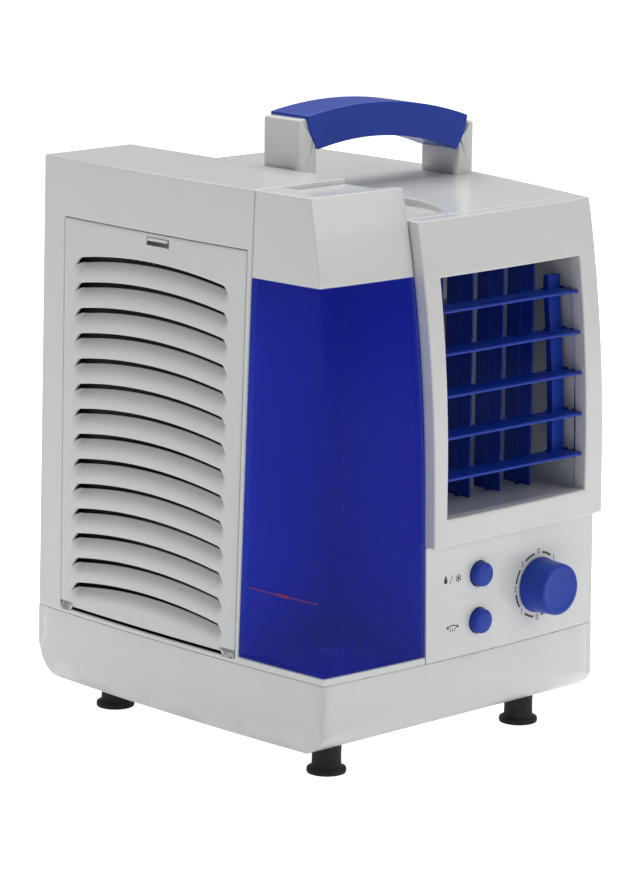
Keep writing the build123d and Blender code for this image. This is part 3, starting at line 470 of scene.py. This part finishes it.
def panel_rows():
    """Each row of the panel's surface: a function that gives its height and depth at y."""
    rows = []

    def straight(z, sink=0.0):
        rows.append(lambda y: (z, sink))

    def across(number, fall, sink):
        def row(y):
            strength = louvre_strength(y, number)
            down = fall
            if fall > 1.0:
                kept = min(1.0, (fall - 4.3) / 9.7)
                down = 0.08 + (fall - 0.08) * (strength + (1 - strength) * kept)
            return lip_height(y, number) - down * MM, sink * MM * strength
        rows.append(row)

    def between(first, second, share):
        rows.append(lambda y: (first(y)[0] * (1 - share) + second(y)[0] * share, 0.0))

    straight(panel_high, edge_round)
    straight(panel_high - edge_round)
    straight(latch_rows[0])
    straight((latch_rows[0] + latch_rows[1]) / 2)
    straight(latch_rows[1])
    upper = rows[-1]
    marks = {}
    for number in range(louvre_count):
        start = len(rows)
        for fall, sink in lip_profile:
            across(number, fall, sink)
        if number == 0:
            lip = rows[start]
            tail = rows[start:]
            del rows[start:]
            for share in (0.25, 0.5, 0.75):
                between(upper, lip, share)
            rows.extend(tail)
        marks[len(rows) - 1] = number
        for fall, sink in scoop_profile:
            across(number, fall, sink)
    last = rows[-1]
    low_row = lambda y: (panel_low + 3 * MM, 0.0)
    for share in (0.35, 0.7):
        between(last, low_row, share)
    rows.append(low_row)
    straight(panel_low + edge_round)
    straight(panel_low, edge_round)
    return rows, marks


def panel_columns():
    """Shares of the way across the panel, closer together at the louvres' ends."""
    span = 192.0
    shares = {0.0, edge_round / (span * MM), 1 - edge_round / (span * MM), 1.0}
    shares.update(k / 80 for k in range(1, 80))
    for low, high in ((11.0, 24.0), (167.0, 183.0)):
        steps = int((high - low) / 0.8)
        shares.update((low + (high - low) * k / steps) / span for k in range(steps + 1))
    z = (latch_rows[0] + latch_rows[1]) / 2
    for y in latch_columns:
        near = (y - panel_y(0, z)) / (panel_y(1, z) - panel_y(0, z))
        shares = {s for s in shares if abs(s - near) > 0.004}
        shares.add(near)
    ordered = sorted(shares)
    return [s for k, s in enumerate(ordered) if k == 0 or s - ordered[k - 1] > 0.0012]


def louvred_panel():
    rows, marks = panel_rows()
    columns = panel_columns()
    bm = bmesh.new()
    bmesh.ops.create_grid(bm, x_segments=len(columns) - 1, y_segments=len(rows) - 1, size=0.5)
    table = {}
    for v in bm.verts:
        i = round((v.co.x + 0.5) * (len(columns) - 1))
        j = round((v.co.y + 0.5) * (len(rows) - 1))
        table[v] = (i, j)
        y = panel_y(columns[i], rows[j](panel_y(columns[i], (panel_low + panel_high) / 2))[0])
        z, sink = rows[j](y)
        if i in (0, len(columns) - 1):
            sink = edge_round
        v.co = (left_face(y, z) + sink, y, z)
    gone = []
    slot_i = [k for k, s in enumerate(columns)
              if latch_columns[0] - 0.2 * MM < panel_y(s, latch_rows[0]) < latch_columns[1] + 0.2 * MM]
    for face in bm.faces:
        spots = [table[v] for v in face.verts]
        i, j = min(s[0] for s in spots), min(s[1] for s in spots)
        y = face.calc_center_median().y
        if j in marks and louvre_strength(y, marks[j]) > 0.03:
            gone.append(face)
        elif j in (2, 3) and slot_i[0] <= i < slot_i[-1]:
            gone.append(face)
    bmesh.ops.delete(bm, geom=gone, context="FACES")
    bmesh.ops.recalc_face_normals(bm, faces=bm.faces)
    bm.faces.ensure_lookup_table()
    if sum(f.normal.x * f.calc_area() for f in bm.faces) > 0:
        bmesh.ops.reverse_faces(bm, faces=bm.faces)
    inner = bmesh.ops.extrude_face_region(bm, geom=bm.faces[:])["geom"]
    inner_verts = [g for g in inner if isinstance(g, bmesh.types.BMVert)]
    bmesh.ops.translate(bm, vec=(plate, 0, 0), verts=inner_verts)
    bmesh.ops.recalc_face_normals(bm, faces=bm.faces)
    # the rib that carries the hinge pins
    pin_z = panel_low + 1.5 * MM
    rib_y = (panel_y(0, pin_z) + 0.3 * MM, panel_y(1, pin_z) - 0.3 * MM)
    rib_x = left_face(rib_y[1], pin_z) + 3.4 * MM
    rib = bmesh.ops.create_cube(bm, size=1.0)["verts"]
    bmesh.ops.scale(bm, vec=(4.4 * MM, rib_y[1] - rib_y[0], 5.0 * MM), verts=rib)
    bmesh.ops.translate(bm, vec=(rib_x, (rib_y[0] + rib_y[1]) / 2, panel_low + 2.6 * MM), verts=rib)
    pin_x = left_face(front_y + 277.2 * MM, pin_z) + 2.3 * MM
    for y in (rib_y[0] - 1.2 * MM, rib_y[1] + 1.2 * MM):
        bmesh.ops.create_cone(bm, cap_ends=True, segments=20, radius1=1.1 * MM, radius2=1.1 * MM,
                              depth=3.0 * MM, matrix=Matrix.Translation((pin_x, y, pin_z))
                              @ Matrix.Rotation(math.pi / 2, 4, "X"))
    return piece("louvred_filter_panel", bm, "white_grille", "filter", ("filter_panel",), sharp=45)


def dust_net():
    """The dark net behind the louvres: a fine grid of strands in a frame, on a thin black backing sheet that stands in
    for the shade behind the net, which is painted shade.
    """
    low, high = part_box("filter_mesh")
    bm = bmesh.new()

    def block(corner, size):
        made = bmesh.ops.create_cube(bm, size=1.0)["verts"]
        bmesh.ops.scale(bm, vec=size, verts=made)
        bmesh.ops.translate(bm, vec=[c + s / 2 for c, s in zip(corner, size)], verts=made)

    span_y, span_z = high.y - low.y, high.z - low.z
    sheet = 0.3 * MM
    # painted shade: a solid black sheet behind the strands, where behind a real net there is only shade
    block((high.x - sheet, low.y, low.z), (sheet, span_y, span_z))
    for z in (low.z, high.z - 2 * MM):
        block((high.x - 2 * sheet, low.y, z), (sheet, span_y, 2 * MM))
    strands = int(span_z / (3.5 * MM))
    for k in range(1, strands):
        block((high.x - 1.6 * sheet, low.y, low.z + span_z * k / strands), (0.6 * sheet, span_y, 0.4 * MM))
    return piece("dust_net", bm, slot_of["filter_mesh"], body_of["filter_mesh"], ("filter_mesh",), black_net_and_shade)


louvred_panel()
dust_net()


# ---------------------------------------------------------------- knob and buttons
def control_knob():
    low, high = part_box("knob")
    x, z = (low.x + high.x) / 2, (low.z + high.z) / 2
    base_r, front = (high.x - low.x) / 2, low.y
    back = front_face(x - 20 * MM, z) - 0.6 * MM
    length = back - front
    stem_end = high.y - front
    face_r = 18.45 * MM
    bm = bmesh.new()
    profile = [(0.0, 0.35 * MM), (face_r - 5.0 * MM, 0.35 * MM), (face_r - 4.2 * MM, 0.25 * MM),
               (face_r - 3.4 * MM, 0.0), (face_r - 1.6 * MM, 0.05 * MM), (face_r - 0.8 * MM, 0.28 * MM),
               (face_r - 0.25 * MM, 0.8 * MM), (face_r, 1.5 * MM), (face_r + 0.25 * MM, 3.0 * MM),
               (base_r - 0.9 * MM, length * 0.62), (base_r - 0.35 * MM, length - 1.6 * MM),
               (base_r, length - 0.9 * MM), (base_r, length - 0.25 * MM), (base_r - 0.3 * MM, length),
               (3.0 * MM, length), (3.0 * MM, stem_end), (0.0, stem_end)]
    turned(bm, profile, (x, front, z), (0, 1, 0), 96)
    return piece("control_knob", bm, "blue_trim", body_of["knob"], ("knob",), sharp=35)


def push_button(number):
    node = f"button_{number}"
    low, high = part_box(node)
    x, z = (low.x + high.x) / 2, (low.z + high.z) / 2
    r, front = (high.x - low.x) / 2, low.y
    skirt = front_face(x, z) + 6.0 * MM - front
    bm = bmesh.new()
    profile = [(0.0, 0.0), (r * 0.35, 0.04 * MM), (r * 0.62, 0.16 * MM), (r - 1.5 * MM, 0.42 * MM),
               (r - 0.75 * MM, 0.75 * MM), (r - 0.25 * MM, 1.3 * MM), (r - 0.05 * MM, 2.0 * MM), (r, 3.0 * MM),
               (r, skirt), (2.0 * MM, skirt), (2.0 * MM, high.y - front), (0.0, high.y - front)]
    turned(bm, profile, (x, front, z), (0, 1, 0), 56)
    return piece(f"push_button_{number}", bm, "blue_trim", body_of[node], (node,), sharp=40)


control_knob()
for number in (1, 2):
    push_button(number)


# ---------------------------------------------------------------- feet
def rubber_feet():
    low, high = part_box("feet")
    flange, neck, top = 14.0 * MM, 10.5 * MM, high.z
    bm = bmesh.new()
    profile = [(0.0, 7.8 * MM), (5.0 * MM, 7.8 * MM), (5.0 * MM, 0.4 * MM), (5.6 * MM, 0.0),
               (flange - 1.2 * MM, 0.0), (flange - 0.3 * MM, 0.3 * MM), (flange, 1.1 * MM),
               (flange, 2.9 * MM), (flange - 0.35 * MM, 3.7 * MM), (flange - 1.2 * MM, 4.1 * MM),
               (neck + 1.2 * MM, 4.5 * MM), (neck + 0.3 * MM, 5.2 * MM), (neck, 6.3 * MM), (neck - 0.2 * MM, 11.0 * MM),
               (neck, top - 1.6 * MM), (neck + 0.5 * MM, top - 0.9 * MM), (neck + 0.5 * MM, top - 0.1 * MM),
               (0.0, top - 0.1 * MM)]
    for x in (low.x + flange, high.x - flange):
        for y in (low.y + flange, high.y - flange):
            foot = bmesh.new()
            turned(foot, profile, (x, y, 0), (0, 0, 1), 48)
            mesh = bpy.data.meshes.new("foot")
            foot.to_mesh(mesh)
            foot.free()
            bm.from_mesh(mesh)
            bpy.data.meshes.remove(mesh)
    return piece("rubber_feet", bm, "black_rubber", body_of["feet"], ("feet",), sharp=40)


rubber_feet()


# ---------------------------------------------------------------- printed marks
ink_proud = 0.06 * MM


def onto_panel(bm, x, z):
    """Lays flat shapes drawn in X and Y on the bowed front panel, around x and z."""
    bmesh.ops.recalc_face_normals(bm, faces=bm.faces)
    for v in bm.verts:
        px, pz = x + v.co.x, z + v.co.y
        v.co = (px, front_face(px, pz) - v.co.z, pz)
    bmesh.ops.recalc_face_normals(bm, faces=bm.faces)


def bar(bm, centre, length, thick, turn=0.0):
    """A flat bar with some crosswise cuts, so that it can follow the panel."""
    cuts = max(1, int(length / (2 * MM)))
    made = bmesh.ops.create_grid(bm, x_segments=cuts, y_segments=1, size=0.5)["verts"]
    bmesh.ops.scale(bm, vec=(length, thick, 1), verts=made)
    bmesh.ops.rotate(bm, cent=(0, 0, 0), matrix=Matrix.Rotation(turn, 3, "Z"), verts=made)
    bmesh.ops.translate(bm, vec=(centre[0], centre[1], 0), verts=made)
    return made


def disc(bm, centre, radius, segments=28):
    made = bmesh.ops.create_circle(bm, cap_ends=True, segments=segments, radius=radius)["verts"]
    bmesh.ops.translate(bm, vec=(centre[0], centre[1], 0), verts=made)
    return made


def arc(bm, centre, radius, thick, start, end, steps=10):
    """A flat stroke along an arc, angles from +X."""
    middle = Vector((centre[0], centre[1], 0))
    way = Vector((math.cos(start), math.sin(start), 0))
    ends = [bm.verts.new(middle + way * (radius + s * thick / 2)) for s in (-1, 1)]
    edge = bm.edges.new(ends)
    bmesh.ops.spin(bm, geom=ends + [edge], cent=middle, axis=(0, 0, 1), angle=end - start, steps=steps,
                   use_merge=False, use_duplicate=False)


def thicken(bm):
    """Gives flat shapes the ink's thickness."""
    bmesh.ops.recalc_face_normals(bm, faces=bm.faces)
    made = bmesh.ops.extrude_face_region(bm, geom=bm.faces[:])["geom"]
    top = [g for g in made if isinstance(g, bmesh.types.BMVert)]
    bmesh.ops.translate(bm, vec=(0, 0, ink_proud), verts=top)


def figure(bm, text, centre, size):
    """Adds a printed figure, centred."""
    curve = bpy.data.curves.new("figure", "FONT")
    curve.body = text
    curve.size = size
    curve.align_x = "CENTER"
    curve.align_y = "CENTER"
    curve.extrude = ink_proud / 2
    obj = bpy.data.objects.new("figure", curve)
    bpy.context.scene.collection.objects.link(obj)
    bpy.context.view_layer.update()
    mesh = bpy.data.meshes.new_from_object(obj.evaluated_get(bpy.context.evaluated_depsgraph_get()))
    bpy.data.objects.remove(obj)
    mesh.transform(Matrix.Translation((centre[0], centre[1], ink_proud / 2)))
    bm.from_mesh(mesh)
    bpy.data.meshes.remove(mesh)
    bmesh.ops.remove_doubles(bm, verts=bm.verts, dist=0.001 * MM)


def dial_marks():
    """The ring round the knob: a figure at each eighth of a turn and a dash between them."""
    low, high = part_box("knob")
    x, z = (low.x + high.x) / 2, (low.z + high.z) / 2
    ring, stroke = 23.4 * MM, 1.5 * MM
    bm = bmesh.new()
    for k in range(8):
        middle = math.pi / 2 - (k + 0.5) * math.pi / 4
        half = math.radians(12.5)
        arc(bm, (0, 0), ring, stroke, middle - half, middle + half)
    thicken(bm)
    for k, text in enumerate(("0", "1", "2", "3") * 2):
        angle = math.pi / 2 - k * math.pi / 4
        figure(bm, text, (ring * math.cos(angle) * 1.03, ring * math.sin(angle) * 1.03), 6.0 * MM)
    onto_panel(bm, x, z)
    return piece("dial_marks", bm, "black_plastic", "cooler", finish=printed_black, sharp=40)


def button_marks():
    """A drop and a flake beside the upper button, a swing arrow beside the lower one."""
    places = [(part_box(f"button_{k}")[0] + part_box(f"button_{k}")[1]) / 2 for k in (1, 2)]
    bm = bmesh.new()
    drop = disc(bm, (-10.5 * MM, -0.6 * MM), 1.75 * MM, 32)
    for v in drop:
        up = v.co.y + 0.6 * MM
        if up > 0:
            share = up / (1.75 * MM)
            v.co.y += share**2 * 2.6 * MM
            v.co.x = -10.5 * MM + (v.co.x + 10.5 * MM) * (1 - 0.55 * share**2)
    bar(bm, (-5.0 * MM, 0), 6.4 * MM, 0.5 * MM, math.radians(66))
    for k in range(3):
        bar(bm, (2.0 * MM, 0), 5.6 * MM, 0.55 * MM, math.pi / 2 + k * math.pi / 3)
    for k in range(6):
        angle = math.pi / 2 + k * math.pi / 3
        tip = (2.0 * MM + 1.9 * MM * math.cos(angle), 1.9 * MM * math.sin(angle))
        for lean in (-0.9, 0.9):
            way = angle + lean
            bar(bm, (tip[0] + 0.45 * MM * math.cos(way), tip[1] + 0.45 * MM * math.sin(way)),
                1.3 * MM, 0.4 * MM, way)
    thicken(bm)
    onto_panel(bm, places[0].x - 23.0 * MM, places[0].z)
    lower = bmesh.new()
    arc(lower, (0, -9.0 * MM), 9.6 * MM, 0.75 * MM, math.radians(62), math.radians(118), 16)
    for side in (-1, 1):
        head = disc(lower, (0, 0), 1.5 * MM, 3)
        turn = Matrix.Rotation(math.radians(-90 * side - 28 * side), 3, "Z")
        bmesh.ops.rotate(lower, cent=(0, 0, 0), matrix=turn, verts=head)
        spot = math.radians(90 - side * 31)
        bmesh.ops.translate(lower, vec=(9.6 * MM * math.cos(spot), 9.6 * MM * math.sin(spot) - 9.0 * MM, 0),
                            verts=head)
    for side in (-1, 0, 1):
        bar(lower, (side * 2.4 * MM, -2.6 * MM), 3.0 * MM, 0.6 * MM, math.radians(90 - 24 * side))
    thicken(lower)
    onto_panel(lower, places[1].x - 26.0 * MM, places[1].z)
    mesh = bpy.data.meshes.new("marks")
    lower.to_mesh(mesh)
    lower.free()
    bm.from_mesh(mesh)
    bpy.data.meshes.remove(mesh)
    return piece("button_marks", bm, "black_plastic", "cooler", finish=printed_black, sharp=40)


def level_mark():
    """The faint red fill line on the tank's left face."""
    z = seam_z + 57.0 * MM
    near, far = front_y + 7.0 * MM, front_y + 73.0 * MM
    bm = bmesh.new()
    bar(bm, (0, 0), far - near, 0.6 * MM)
    for k in (-1, 0, 1):
        bar(bm, (k * 3.4 * MM, 0), 2.4 * MM, 2.2 * MM)
    thicken(bm)
    middle = (near + far) / 2
    for v in bm.verts:
        y, up = middle - v.co.x, z + v.co.y
        v.co = (left_face(y, up) - v.co.z, y, up)
    bmesh.ops.recalc_face_normals(bm, faces=bm.faces)
    return piece("level_mark", bm, "blue_trim", "tank", finish=printed_red, sharp=40)


dial_marks()
button_marks()
level_mark()

# ---------------------------------------------------------------- finishes of the other nodes
for node, obj in nodes.items():
    for place in obj.material_slots:
        place.material = finishes[slot_of[node]].material


# ---------------------------------------------------------------- floor, light and camera
def pale_floor():
    bm = bmesh.new()
    bmesh.ops.create_grid(bm, x_segments=2, y_segments=2, size=14.0)
    mesh = bpy.data.meshes.new("studio_floor")
    bm.to_mesh(mesh)
    bm.free()
    finish = Finish("studio_paper", {"Specular IOR Level": 0.2, "Emission Strength": 1.0})
    seen = finish.add("ShaderNodeLightPath")
    finish.set("Emission Color", finish.mix(seen, colour(0.26, 0.26, 0.27), colour(0.85, 0.85, 0.85)))
    grain = finish.noise(3.0, 2.0)
    finish.set("Base Color", finish.mix(grain, colour(0.93, 0.93, 0.935), colour(0.955, 0.955, 0.955)))
    finish.set("Roughness", 0.6 + 0.1 * grain)
    mesh.materials.append(finish.material)
    floor = bpy.data.objects.new("studio_floor", mesh)
    bpy.context.scene.collection.objects.link(floor)


def soft_light(name, place, aim, size, power, tint=(1, 1, 1)):
    lamp = bpy.data.lights.new(name, "AREA")
    lamp.shape = "RECTANGLE"
    lamp.size, lamp.size_y = size
    lamp.energy = power
    lamp.color = tint
    obj = bpy.data.objects.new(name, lamp)
    obj.location = place
    obj.rotation_euler = (Vector(aim) - Vector(place)).to_track_quat("-Z", "Y").to_euler()
    bpy.context.scene.collection.objects.link(obj)


def studio():
    bpy.context.scene.view_settings.view_transform = "Standard"
    world = bpy.data.worlds.new("studio_world")
    bpy.context.scene.world = world
    world.use_nodes = True
    tree = world.node_tree
    back = tree.nodes["Background"]
    back.inputs["Color"].default_value = colour(1.0, 1.0, 1.0)
    seen = tree.nodes.new("ShaderNodeBackground")
    seen.inputs["Color"].default_value = colour(1.0, 1.0, 1.0)
    seen.inputs["Strength"].default_value = 1.0
    back.inputs["Strength"].default_value = 0.27
    path = tree.nodes.new("ShaderNodeLightPath")
    mix = tree.nodes.new("ShaderNodeMixShader")
    tree.links.new(path.outputs["Is Camera Ray"], mix.inputs[0])
    tree.links.new(back.outputs[0], mix.inputs[1])
    tree.links.new(seen.outputs[0], mix.inputs[2])
    tree.links.new(mix.outputs[0], tree.nodes["World Output"].inputs["Surface"])
    soft_light("overhead_light", (0.5, 0.7, 2.6), (0, 0, 0.2), (2.6, 2.6), 70.0, (0.97, 0.985, 1.0))
    soft_light("front_light", (1.0, -2.6, 1.5), (0, 0, 0.2), (2.0, 1.6), 20.0)
    soft_light("left_light", (-2.6, 0.4, 1.3), (0, 0, 0.2), (1.8, 1.6), 6.0)


def camera():
    """A long lens from the front left, a little above the cooler."""
    azimuth, elevation, roll = math.radians(-43.68), math.radians(11.97), math.radians(0.644)
    back = Vector((math.sin(azimuth) * math.cos(elevation), -math.cos(azimuth) * math.cos(elevation),
                   math.sin(elevation)))
    right = (-back).cross(Vector((0, 0, 1))).normalized()
    up = right.cross(-back)
    level_right, level_up = right.copy(), up.copy()
    right = level_right * math.cos(roll) + level_up * math.sin(roll)
    up = level_up * math.cos(roll) - level_right * math.sin(roll)
    lens = bpy.data.cameras.new("front_left_camera")
    lens.sensor_width = 36.0
    lens.lens = 36.0 * 3959.24 / 873.0
    lens.clip_end = 60.0
    obj = bpy.data.objects.new("front_left_camera", lens)
    turn = Matrix((right, up, back)).transposed().to_4x4()
    obj.matrix_world = Matrix.Translation((-1.9380, -2.02421, 0.7998)) @ turn
    bpy.context.scene.collection.objects.link(obj)
    bpy.context.scene.camera = obj


pale_floor()
studio()
camera()
